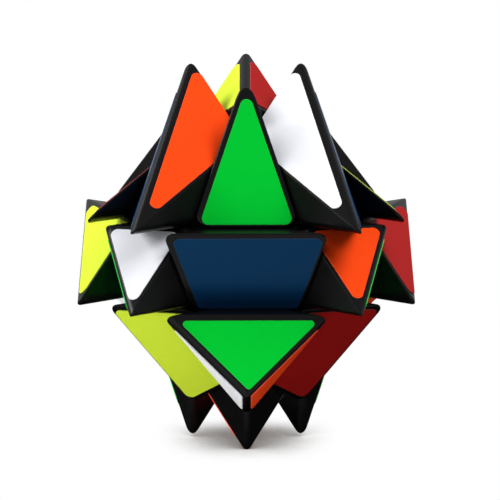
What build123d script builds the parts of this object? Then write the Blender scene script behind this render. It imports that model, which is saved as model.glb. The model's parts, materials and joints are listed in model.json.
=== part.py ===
"""Axis-shaped 3x3x3 twisty puzzle, shown six half turns away from its solved cube.

A six-armed core carries six sprung centres. Twelve edges hook under the centres, and eight corners hook
under the edges. Each of those 26 pieces is a hollow outer shell on an inner moulding. The outside of the
solved puzzle is a plain cube that is turned 60 degrees about one of its space diagonals, so every turn of
a layer breaks it into spikes.

Frame: origin at the centre of the core, +X right, +Y back, +Z up, turning axes along X, Y and Z.
Units are millimetres.
"""

import itertools
import os

from build123d import *

os.makedirs("parts", exist_ok=True)

# ---- driving dimensions ----------------------------------------------------------------------------
SIDE = 57.0  # edge of the solved cube
CUT = SIDE / 6  # from the centre to each cut between layers, outside the retaining sphere
CUT_INSIDE = 5.6  # the same cuts inside the retaining sphere, where the feet run
GAP = 0.15  # clearance on each side of every cut
FIT = 0.05  # clearance between two mouldings of one piece
SPHERE = 24.0  # retaining sphere, with shells outside it and feet inside it
HOLLOW = 12.0  # sphere that the feet leave free around the core
WALL = 1.6  # wall of a shell
ROUND = 0.35  # rounding of the edges where a coloured side meets a cut
RIDGE_ROUND = 1.5  # the same where two coloured sides meet
CENTRE_ROUND = 1.3  # the same where two cuts meet, on centres
EDGE_ROUND = 2.2  # on edges, where it blunts the tips
CORNER_ROUND = 3.3  # on corners, where it blunts the tips of lone sides
FLATS = 5  # flats in each quarter turn of the four larger roundings
PLUG = 3.5  # how far a foot's plug stands up into its shell

BALL = 7.5  # radius of the core's ball
ARM = 3.6  # radius of an arm
ARM_END = 11.7  # from the centre to an arm's end
PILOT = 1.3  # radius of the screw hole in an arm
PILOT_FROM = 4.5  # from the centre to the bottom of that hole

SHANK = 1.25  # radius of a screw's shank
SHANK_FROM = 5.0  # from the centre to the tip of a screw
HEAD = 2.8  # radius of a screw's head
HEAD_HEIGHT = 2.0
SEAT = 19.3  # from the centre to the underside of the head
RECESS_LENGTH = 3.4  # one bar of the cross recess in the head
RECESS_WIDTH = 0.8
RECESS_DEPTH = 1.1

WASHER = 3.0  # outer radius of a washer
WASHER_HOLE = 1.5
WASHER_THICK = 0.5

WIRE = 0.35  # radius of a spring's wire
COIL = 2.2  # radius of its coil, to the middle of the wire
COIL_PITCH = 1.0

BASE_FROM = 12.0  # from the centre to the inner end of a centre's stem
FLOOR = 1.8  # thickness of the floor that the spring presses on
SHANK_HOLE = 1.5  # radius of the hole in that floor
WELL = 3.3  # radius of the well for spring, washer and head
SPLIT = 25.8  # from the centre to the plane where a centre's cap sits on its base
LIP = 1.4  # height of the base's lip inside the cap

FAR = 2 * SIDE  # past anything in the puzzle

FACES = {
    "up": (0, 0, 1),
    "down": (0, 0, -1),
    "front": (0, -1, 0),
    "back": (0, 1, 0),
    "left": (-1, 0, 0),
    "right": (1, 0, 0),
}
# through the two corners that keep three square sides: up-back-left and down-front-right
DIAGONAL = Axis((0, 0, 0), (1, -1, -1))


# ---- shared shapes ---------------------------------------------------------------------------------
def faces_of(slot):
    """Names of the faces that a slot lies on: (1, -1, 1) gives up, front and right."""
    return [name for name, way in FACES.items() if sum(a * b for a, b in zip(slot, way)) == 1]


def soft_rectangle(across, along, radius):
    """Rectangle whose corners are rounded in flats."""
    points = []
    for quarter, (x, y) in enumerate(((1, 1), (-1, 1), (-1, -1), (1, -1))):
        centre = Vector(x * (across / 2 - radius), y * (along / 2 - radius))
        for step in range(FLATS + 1):
            points.append(centre + Vector(radius, 0).rotate(Axis.Z, 90 * (quarter + step / FLATS)))
    return Polygon(*points, align=None)


def soft_box(length, width, height, radius):
    """Box whose edges are rounded in flats."""
    side = extrude(Plane.YZ * soft_rectangle(width, height, radius), length / 2, both=True)
    front = extrude(Plane.ZX * soft_rectangle(height, length, radius), width / 2, both=True)
    top = extrude(soft_rectangle(length, width, radius), height / 2, both=True)
    return side & front & top


def region(slot, cut, inset, half_width=None, radius=0):
    """Box of a slot's space: past the cut along its signed axes, and half_width either side of the others."""
    half_width = cut - inset if half_width is None else half_width
    spans = []
    for sign in slot:
        near, far = (cut + inset, FAR) if sign else (-half_width, half_width)
        spans.append((-far, -near) if sign < 0 else (near, far))
    middle = [(low + high) / 2 for low, high in spans]
    sizes = [high - low for low, high in spans]
    return Pos(*middle) * (soft_box(*sizes, radius) if radius else Box(*sizes))


def block(slot, inset, radius=0):
    """The solved cube, inset on all sides, as the piece in this slot carries it.

    Corners are at home. Each edge has come from the opposite edge by a half turn about the axis that it
    doesn't lie on, and each centre has made a half turn about its own axis.
    """
    side = SIDE - 2 * inset
    cube = soft_box(side, side, side, radius) if radius else Box(side, side, side)
    cube = cube.rotate(DIAGONAL, 60)
    signed = [i for i, sign in enumerate(slot) if sign]
    if len(signed) == 3:
        return cube
    turned_about = signed[0] if len(signed) == 1 else ({0, 1, 2} - set(signed)).pop()
    return cube.rotate((Axis.X, Axis.Y, Axis.Z)[turned_about], 180)


def outward(face):
    """Plane through the centre of the puzzle whose normal points out of a face."""
    return Plane(origin=(0, 0, 0), z_dir=FACES[face])


# ---- outer shells of corners and edges, and caps of centres ----------------------------------------
def make_shell(slot, name, cut_below=None):
    """Hollow outer moulding, rounded outside and open towards the core, cut off below a plane if given."""
    cut_round = (CENTRE_ROUND, EDGE_ROUND, CORNER_ROUND)[len(faces_of(slot)) - 1]
    outside = block(slot, ROUND, RIDGE_ROUND - ROUND)
    space = region(slot, CUT, GAP + ROUND, radius=cut_round - ROUND)
    inside = block(slot, WALL)
    room = region(slot, CUT, GAP + WALL)
    with BuildPart() as hollow:
        add(inside)
        add(room, mode=Mode.INTERSECT)
    with BuildPart() as shell:
        add(space)
        add(outside, mode=Mode.INTERSECT)
        offset(amount=ROUND, kind=Kind.ARC)
        Sphere(SPHERE + GAP, mode=Mode.SUBTRACT)
        add(hollow.part, mode=Mode.SUBTRACT)
        if cut_below is not None:
            with BuildSketch(cut_below):
                Rectangle(FAR, FAR)
            extrude(amount=-FAR, mode=Mode.SUBTRACT)
    shell.part.label = name
    export_step(shell.part, f"parts/{name}.step")


# ---- feet of corners and edges ---------------------------------------------------------------------
def make_foot(slot, name):
    """Inner moulding of a corner or an edge: the foot runs inside the sphere, and its plug holds the shell."""
    foot_space = region(slot, CUT_INSIDE, GAP)
    plug_space = region(slot, CUT, GAP + WALL + FIT, half_width=CUT_INSIDE - GAP)
    plug_limit = block(slot, WALL + FIT)
    with BuildPart() as plug:
        Sphere(SPHERE + PLUG)
        add(plug_space, mode=Mode.INTERSECT)
        add(plug_limit, mode=Mode.INTERSECT)
    with BuildPart() as foot:
        Sphere(SPHERE - GAP)
        add(foot_space, mode=Mode.INTERSECT)
        add(plug.part)
        Sphere(HOLLOW + GAP, mode=Mode.SUBTRACT)
    foot.part.label = name
    export_step(foot.part, f"parts/{name}.step")


# ---- bases of centres ------------------------------------------------------------------------------
def make_base(face, name):
    """Inner moulding of a centre: a stem with the spring's well, and a plate with a lip for the cap."""
    plane = outward(face)
    stem = 2 * (CUT_INSIDE - GAP)
    plate = 2 * (CUT - GAP)
    lip = plate - 2 * (WALL + FIT)
    with BuildPart() as base:
        with BuildSketch(plane.offset(CUT)):
            RectangleRounded(plate, plate, CENTRE_ROUND)
        extrude(amount=SPLIT - FIT - CUT)
        with BuildSketch(plane.offset(SPLIT - FIT)):
            RectangleRounded(lip, lip, ROUND)
        extrude(amount=LIP)
        Sphere(SPHERE + GAP, mode=Mode.SUBTRACT)
        with BuildSketch(plane.offset(BASE_FROM)):
            RectangleRounded(stem, stem, ROUND)
        extrude(amount=SPLIT - BASE_FROM)
        with BuildSketch(plane.offset(BASE_FROM)):
            Circle(SHANK_HOLE)
        extrude(amount=FLOOR, mode=Mode.SUBTRACT)
        with BuildSketch(plane.offset(BASE_FROM + FLOOR)):
            Circle(WELL)
        extrude(amount=FAR, mode=Mode.SUBTRACT)
    base.part.label = name
    export_step(base.part, f"parts/{name}.step")


# ---- core ------------------------------------------------------------------------------------------
with BuildPart() as core:
    Sphere(BALL)
    for face in FACES:
        with BuildSketch(outward(face)):
            Circle(ARM)
        extrude(amount=ARM_END)
    for face in FACES:
        with BuildSketch(outward(face).offset(PILOT_FROM)):
            Circle(PILOT)
        extrude(amount=FAR, mode=Mode.SUBTRACT)
core.part.label = "core"
export_step(core.part, "parts/core.step")

# ---- screws, one along each arm --------------------------------------------------------------------
with BuildPart() as screws:
    for face in FACES:
        with BuildSketch(outward(face).offset(SHANK_FROM)):
            Circle(SHANK)
        extrude(amount=SEAT - SHANK_FROM)
        with BuildSketch(outward(face).offset(SEAT)):
            Circle(HEAD)
        extrude(amount=HEAD_HEIGHT)
        with BuildSketch(outward(face).offset(SEAT + HEAD_HEIGHT)):
            Rectangle(RECESS_LENGTH, RECESS_WIDTH)
            Rectangle(RECESS_WIDTH, RECESS_LENGTH)
        extrude(amount=-RECESS_DEPTH, mode=Mode.SUBTRACT)
screws.part.label = "screws"
export_step(screws.part, "parts/screws.step")

# ---- washers, under the heads ----------------------------------------------------------------------
with BuildPart() as washers:
    for face in FACES:
        with BuildSketch(outward(face).offset(SEAT - WASHER_THICK)):
            Circle(WASHER)
            Circle(WASHER_HOLE, mode=Mode.SUBTRACT)
        extrude(amount=WASHER_THICK)
washers.part.label = "washers"
export_step(washers.part, "parts/washers.step")

# ---- springs, between each centre's floor and its washer -------------------------------------------
spring_from = BASE_FROM + FLOOR + FIT + WIRE
spring_to = SEAT - WASHER_THICK - FIT - WIRE
with BuildPart() as springs:
    for face, way in FACES.items():
        start = outward(face).offset(spring_from).origin
        with BuildLine() as coil:
            Helix(COIL_PITCH, spring_to - spring_from, COIL, center=start, direction=way)
        with BuildSketch(Plane(origin=coil.line @ 0, z_dir=coil.line % 0)):
            Circle(WIRE)
        sweep(path=coil.line)
springs.part.label = "springs"
export_step(springs.part, "parts/springs.step")

# ---- the 26 pieces ---------------------------------------------------------------------------------
for slot in itertools.product((1, 0, -1), repeat=3):
    faces = faces_of(slot)
    name = "_".join(faces)
    if len(faces) == 1:
        make_shell(slot, f"centre_{name}_cap", cut_below=outward(name).offset(SPLIT))
        make_base(name, f"centre_{name}_base")
    elif len(faces) > 1:
        kind = "edge" if len(faces) == 2 else "corner"
        make_shell(slot, f"{kind}_{name}_shell")
        make_foot(slot, f"{kind}_{name}_foot")
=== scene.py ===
"""Looks of the axis-shaped twisty puzzle: black mouldings, vinyl stickers, a pale studio and the camera."""
import json
import math
import random

import bpy
from mathutils import Matrix, Vector

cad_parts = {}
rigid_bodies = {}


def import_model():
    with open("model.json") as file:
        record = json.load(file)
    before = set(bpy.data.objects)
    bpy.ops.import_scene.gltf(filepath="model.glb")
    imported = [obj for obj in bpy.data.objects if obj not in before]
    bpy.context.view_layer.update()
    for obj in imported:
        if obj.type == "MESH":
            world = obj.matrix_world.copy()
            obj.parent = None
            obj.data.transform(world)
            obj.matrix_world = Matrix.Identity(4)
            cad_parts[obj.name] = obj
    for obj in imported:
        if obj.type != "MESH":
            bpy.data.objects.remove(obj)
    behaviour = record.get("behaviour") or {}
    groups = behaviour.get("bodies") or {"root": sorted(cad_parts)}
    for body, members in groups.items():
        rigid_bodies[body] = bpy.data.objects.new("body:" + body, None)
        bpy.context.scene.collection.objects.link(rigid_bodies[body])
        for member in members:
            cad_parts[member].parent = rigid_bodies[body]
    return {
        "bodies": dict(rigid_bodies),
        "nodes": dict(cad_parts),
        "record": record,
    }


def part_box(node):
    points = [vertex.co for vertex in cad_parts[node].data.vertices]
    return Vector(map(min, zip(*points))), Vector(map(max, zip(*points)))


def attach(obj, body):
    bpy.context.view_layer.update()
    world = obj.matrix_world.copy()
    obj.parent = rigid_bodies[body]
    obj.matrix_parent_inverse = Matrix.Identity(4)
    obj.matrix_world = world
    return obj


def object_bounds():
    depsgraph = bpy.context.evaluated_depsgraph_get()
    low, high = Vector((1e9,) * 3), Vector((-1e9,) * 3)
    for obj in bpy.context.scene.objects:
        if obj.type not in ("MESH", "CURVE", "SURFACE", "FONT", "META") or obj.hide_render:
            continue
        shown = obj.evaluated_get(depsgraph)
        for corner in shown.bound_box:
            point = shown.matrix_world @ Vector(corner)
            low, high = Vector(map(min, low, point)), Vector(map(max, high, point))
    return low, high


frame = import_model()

cad_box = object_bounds()
MM = 0.001

# ---- the puzzle's geometry, worked out from the frame ------------------------------------------------
# Outward normals of the solved cube's six sides, in thirds, as a corner piece carries them.
SIDES = {
    "green": (2, -2, 1),
    "white": (-1, -2, -2),
    "orange": (2, 1, -2),
    "blue": (-2, 2, -1),
    "yellow": (1, 2, 2),
    "red": (-2, -1, 2),
}
WAYS = {
    "up": Vector((0, 0, 1)),
    "down": Vector((0, 0, -1)),
    "front": Vector((0, -1, 0)),
    "back": Vector((0, 1, 0)),
    "left": Vector((-1, 0, 0)),
    "right": Vector((1, 0, 0)),
}
PIECES = sorted(b for b in frame["bodies"] if b != "core")
# The two corner pieces on the diagonal that the cube is turned about, with three coloured sides that meet at
# a square corner. The others have one coloured side.
SQUARE_CORNERS = ((1, -1, -1), (-1, 1, 1))

# One of the two gives half the solved cube's side, by how far its green side lies from the centre, and the
# place of the cuts.
SQUARE_SHELL = "corner_down_front_right_shell"
GREEN = Vector(SIDES["green"]) / 3
HALF_SIDE = max(v.co.dot(GREEN) for v in frame["nodes"][SQUARE_SHELL].data.vertices)
GAP = 0.15 * MM  # clearance that the CAD leaves on each side of a cut
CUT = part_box(SQUARE_SHELL)[0].x - GAP


def slot_of(body):
    """A piece's place in the puzzle: corner_up_front_right gives (1, -1, 1)."""
    return sum((WAYS[name] for name in body.split("_")[1:]), Vector())


def home_turn(slot):
    """How a piece has been turned from its solved place: corners not at all, the rest by half a turn."""
    moved = [i for i in range(3) if slot[i]]
    if len(moved) == 3:
        return Matrix.Identity(3)
    axis = moved[0] if len(moved) == 1 else ({0, 1, 2} - set(moved)).pop()
    return Matrix.Rotation(math.pi, 3, "XYZ"[axis])


def side_normals(slot):
    """The outward normals of the six coloured sides of the cube, as the piece in this slot holds them."""
    turn = home_turn(slot)
    return {colour: turn @ (Vector(n) / 3) for colour, n in SIDES.items()}


# ---- stickers ----------------------------------------------------------------------------------------
# Insets, from a side's sharp edge to the sticker's edge. At a cut they go by the cut's lean, which is three
# times the cosine between the outward normals of side and cut.
INSET_SIDE = 1.45 * MM  # at another coloured side
INSET_CUT = {-2: 1.95 * MM, -1: 0.85 * MM, 1: 0.75 * MM, 2: 1.1 * MM}
INSET_SQUARE = 1.7 * MM  # at the cuts of the two square corners
TURN_RADIUS = 1.5 * MM  # rounding of a sticker's corners
TURN_RADIUS_SQUARE = 0.8 * MM  # the same on the two square corners
ARC_STEP = math.radians(6)
THICK = 0.2 * MM  # how far a sticker stands proud
SOFT = 0.05 * MM  # bevel round its top
SOFT_STEP = 0.3 * SOFT  # how far from both faces the bevel bends
SUNK = 0.08 * MM  # how far its back sits in the plastic's surface
LAID = 0.2 * MM  # how far off its place a sticker may have been laid
# stickers laid further off than that, in millimetres along X, Y and Z
LAID_OFF = {
    "sticker_green_corner_up_front_right": (0.11, 0.11, 0.0),
    "sticker_green_corner_down_front_right": (0.4, 0.4, 0.0),
    "sticker_blue_edge_front_right": (0.31, 0.31, -0.7),
    "sticker_orange_edge_up_front": (0.39, 0.39, 0.0),
    "sticker_white_centre_front": (-0.35, -0.35, 0.0),
    "sticker_yellow_centre_up": (-0.45, -0.22, -0.45),
    "sticker_yellow_corner_up_back_right": (0.27, -0.68, 0.54),
    "sticker_red_corner_up_front_left": (0.68, -0.27, 0.54),
    "sticker_green_edge_down_back": (0.45, -0.36, 0.18),
    "sticker_green_edge_down_left": (0.36, -0.45, 0.18),
    "sticker_orange_centre_down": (0.12, -0.47, 0.12),
    "sticker_red_edge_back_right": (0.15, 0.3, -0.3),
    "sticker_white_edge_up_right": (-0.4, -0.4, -0.2),
}
SAME_POINT = 0.01 * MM  # corners of an outline that lie closer than this count as one
PARALLEL = 1e-6  # sine of an angle that counts as none


def clip(polygon, normal, limit):
    """The part of a convex 2-D polygon where normal . p <= limit."""
    kept = []
    for a, b in zip(polygon, polygon[1:] + polygon[:1]):
        da, db = normal.dot(a) - limit, normal.dot(b) - limit
        if da <= 0:
            kept.append(a)
        if (da < 0) != (db < 0) and da != db:
            kept.append(a + (b - a) * (da / (da - db)))
    return kept


def walls_of(slot, colour):
    """The planes around one side of a piece: (outward normal, distance from the centre, is a side itself)."""
    walls = [(m, HALF_SIDE, True) for c, m in side_normals(slot).items() if c != colour]
    for i in range(3):
        axis = Vector([float(i == j) for j in range(3)])
        if slot[i]:
            walls.append((-axis * slot[i], -CUT, False))
        else:
            walls += [(axis, CUT, False), (-axis, CUT, False)]
    return walls


def inset_at(slot, on_side, lean):
    """How far a sticker stays away from one edge of its side."""
    if on_side:
        return INSET_SIDE
    return INSET_SQUARE if tuple(slot) in SQUARE_CORNERS else INSET_CUT[lean]


def side_outline(slot, colour, radius):
    """Convex outline that a sticker's corner arcs are centred on, in 2-D, and the side's own three axes."""
    n = side_normals(slot)[colour]
    u = n.orthogonal().normalized()
    v = n.cross(u)
    far = 4 * HALF_SIDE
    outline = [Vector(p) for p in ((-far, -far), (far, -far), (far, far), (-far, far))]
    for m, limit, on_side in walls_of(slot, colour):
        flat = Vector((m.dot(u), m.dot(v)))
        if flat.length > PARALLEL and outline:
            inset = inset_at(slot, on_side, round(3 * m.dot(n)))
            reach = (limit - HALF_SIDE * m.dot(n)) / flat.length - inset - radius
            outline = clip(outline, flat.normalized(), reach)
    kept = []
    for p in outline:
        if not kept or (p - kept[-1]).length > SAME_POINT:
            kept.append(p)
    if len(kept) > 1 and (kept[0] - kept[-1]).length <= SAME_POINT:
        kept.pop()
    return kept, u, v, n


def round_outline(outline, radius):
    """The outline grown by radius, with arcs at its corners: a list of (point, outward direction)."""
    ring = []
    count = len(outline)
    for i, corner in enumerate(outline):
        before = (corner - outline[i - 1]).normalized()
        after = (outline[(i + 1) % count] - corner).normalized()
        start = math.atan2(-before.x, before.y)
        turn = before.angle(after)
        steps = max(1, math.ceil(turn / ARC_STEP))
        for k in range(steps + 1):
            angle = start + turn * k / steps
            way = Vector((math.cos(angle), math.sin(angle)))
            ring.append((corner + way * radius, way))
    return ring


def laid_off(name, n):
    """How far off its place a sticker lies, within its side."""
    if name in LAID_OFF:
        off = Vector(LAID_OFF[name]) * MM
    else:
        rng = random.Random(name)
        off = Vector([rng.uniform(-LAID, LAID) for _ in range(3)])
    return off - n * n.dot(off)


def sticker_mesh(name, ring, at):
    """A closed thin plate with a soft top edge. Its rim attribute is 0 on the top and 1 elsewhere.

    ring is the plate's outline, and at(p, height) turns a point of it into a point in space.
    """
    # how far in and how high the outline runs, from the back to the top
    levels = ((0, -SUNK), (0, THICK - SOFT), (SOFT_STEP, THICK - SOFT_STEP), (SOFT, THICK))
    points = [at(p - way * inwards, height) for inwards, height in levels for p, way in ring]
    count = len(ring)
    top = len(points) - count
    faces = [tuple(reversed(range(count)))]
    for level in range(0, top, count):
        for i in range(count):
            a, b = level + i, level + (i + 1) % count
            faces.append((a, b, b + count, a + count))
    faces.append(tuple(range(top, top + count)))
    mesh = bpy.data.meshes.new(name)
    mesh.from_pydata(points, [], faces)
    mesh.validate()
    rim = mesh.attributes.new("rim", "FLOAT", "POINT")
    rim.data.foreach_set("value", [1.0] * top + [0.0] * count)
    return mesh


def add_sticker(body, colour, material):
    """One vinyl sticker that rides on its piece, if the piece has enough of that side to hold one."""
    slot = slot_of(body)
    radius = TURN_RADIUS_SQUARE if tuple(slot) in SQUARE_CORNERS else TURN_RADIUS
    outline, u, v, n = side_outline(slot, colour, radius)
    if len(outline) < 3:
        return
    name = f"sticker_{colour}_{body}"
    off = laid_off(name, n)

    def at(p, height):
        return u * p.x + v * p.y + n * (HALF_SIDE + height) + off

    mesh = sticker_mesh(name, round_outline(outline, radius), at)
    mesh.materials.append(material)
    sticker = bpy.data.objects.new(name, mesh)
    bpy.context.scene.collection.objects.link(sticker)
    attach(sticker, body)


# ---- materials ---------------------------------------------------------------------------------------
def node_maker(tree):
    """A shorthand for adding a node to a tree, with the values of its inputs and its own settings."""

    def node(kind, **settings):
        made = tree.nodes.new(kind)
        for key, value in settings.items():
            if key in made.inputs:
                made.inputs[key].default_value = value
            else:
                setattr(made, key, value)
        return made

    return node


def new_material(name):
    """A node material with a Principled shader: the material, its link function, shader and node maker."""
    material = bpy.data.materials.new(name)
    material.use_nodes = True
    tree = material.node_tree
    return material, tree.links.new, tree.nodes["Principled BSDF"], node_maker(tree)


def ramp(node, link, value, start, end, low, high, kind="SMOOTHSTEP"):
    """Takes a value to low up to start and to high from end on."""
    made = node("ShaderNodeMapRange", interpolation_type=kind)
    for key, number in (("From Min", start), ("From Max", end), ("To Min", low), ("To Max", high)):
        made.inputs[key].default_value = number
    link(value, made.inputs["Value"])
    return made.outputs["Result"]


def blend_colours(node, link, factor, first, second):
    """A mix of two colours, each an RGB triple."""
    mix = node("ShaderNodeMix", data_type="RGBA")
    mix.inputs["A"].default_value = (*first, 1)
    mix.inputs["B"].default_value = (*second, 1)
    link(factor, mix.inputs["Factor"])
    return mix


MOTTLES_PER_GRAIN = 0.15  # the mottling is this much coarser than the grain
GRAIN_DEPTH = 0.1  # height of the relief, in grains


def speckled(
    name, colour, roughness, grain, bump, vary=0.2, uneven=0.06, specular=0.5, metallic=0.0, soft_edge=0.0
):
    """A surface with a mottled colour, uneven roughness and a fine relief.

    grain is the relief's grain in metres, and bump its strength. With soft_edge, edges and narrow flats
    shade as if they were rounded by that radius.
    """
    material, link, shader, node = new_material(name)
    place = node("ShaderNodeTexCoord").outputs["Object"]
    broad = node("ShaderNodeTexNoise", Scale=MOTTLES_PER_GRAIN / grain, Detail=3.0, Roughness=0.55)
    fine = node("ShaderNodeTexNoise", Scale=1.0 / grain, Detail=4.0, Roughness=0.6)
    link(place, broad.inputs["Vector"])
    link(place, fine.inputs["Vector"])
    darker = [c * (1 - vary) for c in colour]
    paler = [min(1.0, c * (1 + vary)) for c in colour]
    tint = blend_colours(node, link, broad.outputs["Fac"], darker, paler)
    link(tint.outputs["Result"], shader.inputs["Base Color"])
    spread = ramp(node, link, broad.outputs["Fac"], 0, 1, roughness - uneven, roughness + uneven, "LINEAR")
    link(spread, shader.inputs["Roughness"])
    relief = node("ShaderNodeBump", Strength=bump, Distance=GRAIN_DEPTH * grain)
    link(fine.outputs["Fac"], relief.inputs["Height"])
    link(relief.outputs["Normal"], shader.inputs["Normal"])
    if soft_edge:
        soft = node("ShaderNodeBevel", Radius=soft_edge)
        link(soft.outputs["Normal"], relief.inputs["Normal"])
    shader.inputs["Specular IOR Level"].default_value = specular
    shader.inputs["Metallic"].default_value = metallic
    return material


VINYL_COLOUR = {
    "green": (0.002, 0.66, 0.04),
    "white": (0.79, 0.8, 0.85),
    "orange": (1.0, 0.07, 0.009),
    "blue": (0.002, 0.028, 0.085),
    "yellow": (0.6, 0.77, 0.04),
    "red": (0.36, 0.009, 0.008),
}
# the colour that each vinyl gives to what it mirrors
VINYL_SHINE = {
    "green": (0.4, 1.0, 0.5),
    "white": (1.0, 1.0, 1.0),
    "orange": (1.0, 0.4, 0.3),
    "blue": (0.08, 0.42, 1.0),
    "yellow": (1.0, 1.0, 0.4),
    "red": (1.0, 0.3, 0.3),
}
VINYL_SPECULAR = 0.015
BLUE_SPECULAR = 0.45  # the blue is the glossy one: it mirrors the floor in front
RIM_HIGHLIGHT_PALE = 0.06  # how much paler the vinyl's cut edge is painted: partly its own whitish edge, partly a painted highlight


def vinyl(colour):
    """Smooth vinyl that is a little paler where its cut edge shows, by the sticker's rim attribute: partly
    the vinyl's own whitish edge, partly a painted highlight.
    """
    specular = BLUE_SPECULAR if colour == "blue" else VINYL_SPECULAR
    material = speckled(
        f"vinyl_{colour}",
        VINYL_COLOUR[colour],
        roughness=0.34,
        grain=0.4 * MM,
        bump=0.06,
        vary=0.03,
        uneven=0.05,
        specular=specular,
    )
    tree = material.node_tree
    node, link = node_maker(tree), tree.links.new
    shader = tree.nodes["Principled BSDF"]
    shader.inputs["Specular Tint"].default_value = (*VINYL_SHINE[colour], 1)
    mottled = shader.inputs["Base Color"].links[0].from_socket
    rim = node("ShaderNodeAttribute", attribute_name="rim")
    # painted highlight, partly the vinyl's own whitish edge: the rim mixes to a paler colour
    pale = node("ShaderNodeMix", data_type="RGBA")
    pale.inputs["B"].default_value = (*[c + RIM_HIGHLIGHT_PALE * (1 - c) for c in VINYL_COLOUR[colour]], 1)
    link(rim.outputs["Fac"], pale.inputs["Factor"])
    link(mottled, pale.inputs["A"])
    link(pale.outputs["Result"], shader.inputs["Base Color"])
    return material


VINYL = {colour: vinyl(colour) for colour in SIDES}
CAD_MATERIALS = {
    "shell_plastic": speckled(
        "shell_plastic",
        (0.003, 0.003, 0.0033),
        roughness=0.3,
        grain=0.25 * MM,
        bump=0.1,
        specular=0.16,
        soft_edge=0.6 * MM,
    ),
    "inner_plastic": speckled("inner_plastic", (0.012, 0.012, 0.013), 0.5, 0.3 * MM, 0.2, uneven=0.05),
    "core_plastic": speckled("core_plastic", (0.02, 0.02, 0.022), 0.55, 0.3 * MM, 0.2, uneven=0.05),
    "screw_steel": speckled("screw_steel", (0.6, 0.58, 0.52), 0.32, 0.15 * MM, 0.15, 0.1, 0.06, 0.5, 1.0),
    "washer_steel": speckled("washer_steel", (0.62, 0.62, 0.6), 0.3, 0.15 * MM, 0.15, 0.1, 0.06, 0.5, 1.0),
    "spring_steel": speckled("spring_steel", (0.55, 0.55, 0.56), 0.22, 0.1 * MM, 0.15, 0.1, 0.05, 0.5, 1.0),
}

slot_of_node = {s["node"]: s["material_slot"] for s in frame["record"]["subparts"]}
for name, cad in frame["nodes"].items():
    for slot in cad.material_slots:
        slot.material = CAD_MATERIALS[slot_of_node[name]]

for body in PIECES:
    for colour in SIDES:
        add_sticker(body, colour, VINYL[colour])

# ---- stage -------------------------------------------------------------------------------------------
scene = bpy.context.scene


def direction(azimuth, elevation):
    """From the puzzle's centre, in degrees: azimuth 0 is in front and 90 on the right."""
    a, e = math.radians(azimuth), math.radians(elevation)
    return Vector((math.sin(a) * math.cos(e), -math.cos(a) * math.cos(e), math.sin(e)))


LAMP_DISTANCE = 0.7


def lamp(name, azimuth, elevation, size, power, mirrored=True):
    """A square soft light that faces the puzzle. Without mirrored, the puzzle doesn't reflect its shape."""
    way = direction(azimuth, elevation)
    data = bpy.data.lights.new(name, "AREA")
    data.shape, data.size, data.energy = "SQUARE", size, power
    light = bpy.data.objects.new(name, data)
    light.location = way * LAMP_DISTANCE
    light.rotation_euler = way.to_track_quat("Z", "Y").to_euler()
    scene.collection.objects.link(light)
    light.visible_camera = False
    light.visible_glossy = mirrored


lamp("left", -50, 35, 0.4, 5.4)
lamp("low", 10, 12, 0.4, 0.95)
lamp("right", 115, 55, 0.4, 4.8, mirrored=False)
lamp("back", 225, 60, 0.5, 2.2, mirrored=False)

FLOOR_RADIUS = 0.6
FLOOR_CORNERS = 96
FADE_FROM, FADE_TO = 0.1, 0.35  # distances from the middle over which the floor fades into the backdrop
FLOOR_PALE, FLOOR_PAINTED_SHADE = 0.9, 0.25  # how pale it is to the puzzle, and how pale on the right, where a painted shade darkens it in place of a flag
PAINTED_SHADE_FROM, PAINTED_SHADE_TO = -0.02, 0.05  # where the painted shade on the right begins and is full
MIRROR_DARK, MIRROR_PALE = 0.01, 0.9  # how bright the floor glows in the puzzle's reflections, close by and in front: a painted reflection
MIRROR_FROM, MIRROR_TO = 0.035, 0.05
# painted shadow: the floor's glow darkens where the puzzle blocks the surroundings within this reach
SHADOW_REACH = 0.025
SHADOW_FULL, SHADOW_NONE = 0.2, 0.68  # unblocked share of the surroundings under the tips and clear of them
SHADOW_COLOUR = (0.1, 0.075, 0.06)
ACROSS = (0.707, 0.707, 0.0)  # to the right, seen from the camera
AHEAD = (0.707, -0.707, 0.0)  # towards the camera


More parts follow.
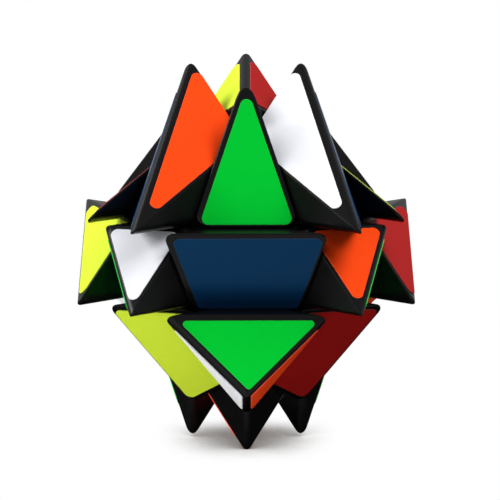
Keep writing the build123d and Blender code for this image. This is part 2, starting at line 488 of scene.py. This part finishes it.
def floor_material():
    """Glowing white to the camera with a small warm painted shadow, and dimmer to the puzzle, which it lights
    from below. In the puzzle's reflections it glows dark close by and pale in front: a painted reflection.
    """
    material, link, shader, node = new_material("floor")
    place = node("ShaderNodeTexCoord").outputs["Object"]

    def along(way):
        dot = node("ShaderNodeVectorMath", operation="DOT_PRODUCT")
        dot.inputs[1].default_value = way
        link(place, dot.inputs[0])
        return dot.outputs["Value"]

    def choose(factor, first, second):
        mix = node("ShaderNodeMixShader")
        link(factor, mix.inputs["Fac"])
        link(first, mix.inputs[1])
        link(second, mix.inputs[2])
        return mix.outputs["Shader"]

    # what lights the puzzle from below, with a painted shade on the right
    pale = ramp(node, link, along(ACROSS), PAINTED_SHADE_FROM, PAINTED_SHADE_TO, FLOOR_PALE, FLOOR_PAINTED_SHADE)
    link(pale, shader.inputs["Base Color"])
    shader.inputs["Roughness"].default_value = 0.6
    # what the camera sees: an even glow, with a painted shadow where the tips block the surroundings
    near = node("ShaderNodeAmbientOcclusion", Distance=SHADOW_REACH)
    clear_of_tips = ramp(node, link, near.outputs["AO"], SHADOW_FULL, SHADOW_NONE, 0, 1)
    tone = blend_colours(node, link, clear_of_tips, SHADOW_COLOUR, (1, 1, 1))
    seen = node("ShaderNodeEmission")
    link(tone.outputs["Result"], seen.inputs["Color"])
    # what mirrors in the puzzle: a glow, dark close by and pale in front, as a painted reflection
    mirrored = node("ShaderNodeEmission")
    glow = ramp(node, link, along(AHEAD), MIRROR_FROM, MIRROR_TO, MIRROR_DARK, MIRROR_PALE)
    link(glow, mirrored.inputs["Strength"])
    ray = node("ShaderNodeLightPath").outputs
    surface = choose(ray["Is Camera Ray"], shader.outputs["BSDF"], seen.outputs["Emission"])
    surface = choose(ray["Is Glossy Ray"], surface, mirrored.outputs["Emission"])
    # it fades out with the distance from the middle
    span = node("ShaderNodeVectorMath", operation="LENGTH")
    link(place, span.inputs[0])
    fade = ramp(node, link, span.outputs["Value"], FADE_FROM, FADE_TO, 0, 1)
    clear = node("ShaderNodeBsdfTransparent")
    surface = choose(fade, surface, clear.outputs["BSDF"])
    link(surface, material.node_tree.nodes["Material Output"].inputs["Surface"])
    return material


def add_floor():
    """A disc under the lowest tip."""
    corners = []
    for i in range(FLOOR_CORNERS):
        angle = math.tau * i / FLOOR_CORNERS
        corners.append((FLOOR_RADIUS * math.cos(angle), FLOOR_RADIUS * math.sin(angle), cad_box[0][2]))
    mesh = bpy.data.meshes.new("floor")
    mesh.from_pydata(corners, [], [tuple(range(FLOOR_CORNERS))])
    mesh.materials.append(floor_material())
    floor = bpy.data.objects.new("floor", mesh)
    scene.collection.objects.link(floor)


BACKDROP_SEEN = 1.0  # the backdrop's brightness to the camera
BACKDROP_SOFT = 0.04  # as light on the puzzle
BACKDROP_MIRRORED = 0.5  # mirrored in the puzzle


def add_backdrop():
    """A plain world that is white to the camera and dimmer to the puzzle."""
    world = bpy.data.worlds.new("studio")
    world.use_nodes = True
    scene.world = world
    tree = world.node_tree
    node = node_maker(tree)
    link = tree.links.new
    background = tree.nodes["Background"]
    background.inputs["Color"].default_value = (1, 1, 1, 1)
    ray = node("ShaderNodeLightPath").outputs
    to_puzzle = node("ShaderNodeMapRange")
    to_puzzle.inputs["To Min"].default_value = BACKDROP_SOFT
    to_puzzle.inputs["To Max"].default_value = BACKDROP_MIRRORED
    link(ray["Is Glossy Ray"], to_puzzle.inputs["Value"])
    strength = node("ShaderNodeMapRange")
    strength.inputs["To Max"].default_value = BACKDROP_SEEN
    link(ray["Is Camera Ray"], strength.inputs["Value"])
    link(to_puzzle.outputs["Result"], strength.inputs["To Min"])
    link(strength.outputs["Result"], background.inputs["Strength"])


add_floor()
add_backdrop()
scene.view_settings.view_transform = "Standard"

# ---- camera ------------------------------------------------------------------------------------------
AZIMUTH, ELEVATION, ROLL = 45.08, 9.12, -0.13
DISTANCE = 29.25 * HALF_SIDE
SENSOR = 36.0
FOCAL_PER_WIDTH = 6.9  # focal length over image width
SHIFT = (0.0074, 0.0007)  # of the lens, in image widths
NEAREST, FURTHEST = 0.05, 10.0

data = bpy.data.cameras.new("camera")
data.sensor_width = SENSOR
data.lens = FOCAL_PER_WIDTH * SENSOR
data.shift_x, data.shift_y = SHIFT
data.clip_start, data.clip_end = NEAREST, FURTHEST
camera = bpy.data.objects.new("camera", data)
way = direction(AZIMUTH, ELEVATION)
tilt = Matrix.Rotation(math.radians(ROLL), 3, "Z").to_quaternion()
camera.location = way * DISTANCE
camera.rotation_mode = "QUATERNION"
camera.rotation_quaternion = way.to_track_quat("Z", "Y") @ tilt
scene.collection.objects.link(camera)
scene.camera = camera
